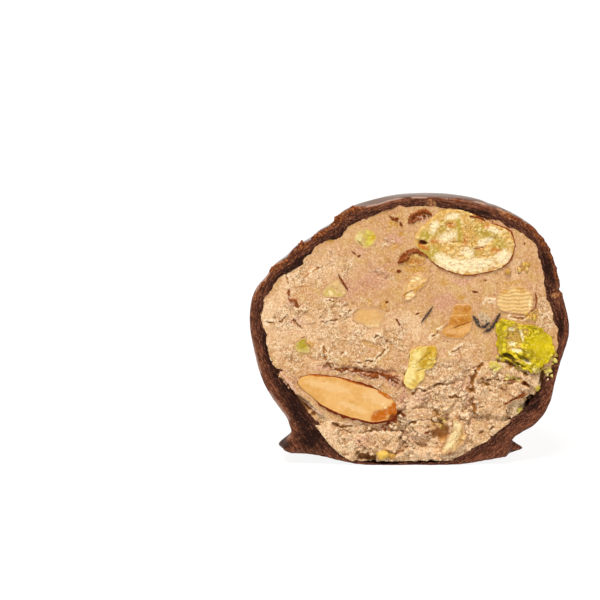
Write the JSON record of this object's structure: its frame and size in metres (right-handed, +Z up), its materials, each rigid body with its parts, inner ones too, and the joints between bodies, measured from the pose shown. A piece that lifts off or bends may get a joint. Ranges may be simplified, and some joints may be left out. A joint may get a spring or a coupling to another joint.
{
  "type": "cut dark chocolate bonbon",
  "caption": "Half of a domed dark chocolate bonbon on a spread foot, cut upright to show a thin shell round a crumbly nut filling with almond, hazelnut and pistachio kernels.",
  "frame": {"origin": "on the flat base that it rests on, 8 mm behind the cut face and below the crown", "axes": "+Z up; the cut face looks along -Y; +X to the right seen from in front of the cut face"},
  "size_m": [0.0401, 0.0202, 0.0344],
  "materials": {
    "dark_chocolate": "dark chocolate coating, glossy outside, reddish brown and finely crumbled along the cut edge",
    "nut_filling": "matt tan nut paste, smeared by the knife above and crumbled below",
    "hazelnut_flesh": "grainy cream and straw flesh with a thin brown skin",
    "almond_flesh": "smooth roasted tan flesh with a red-brown skin",
    "pistachio_flesh": "waxy yellow-green flesh",
    "nut_chip": "pale to amber chopped nut",
    "nut_skin": "thin dry red-brown nut skin"
  },
  "bodies": {
    "root": {"chocolate_shell": "dark_chocolate", "filling": "nut_filling", "hazelnut": "hazelnut_flesh", "almond": "almond_flesh", "pistachio_right": "pistachio_flesh", "pistachio_centre": "pistachio_flesh", "pistachio_top": "pistachio_flesh", "pistachio_left": "pistachio_flesh", "ridged_chip": "nut_chip", "amber_chip": "nut_chip", "peach_chip": "nut_chip", "folded_chip": "nut_chip", "skinned_chip": "nut_skin", "left_chip": "nut_chip", "pale_chip": "nut_chip"}
  },
  "joints": []
}
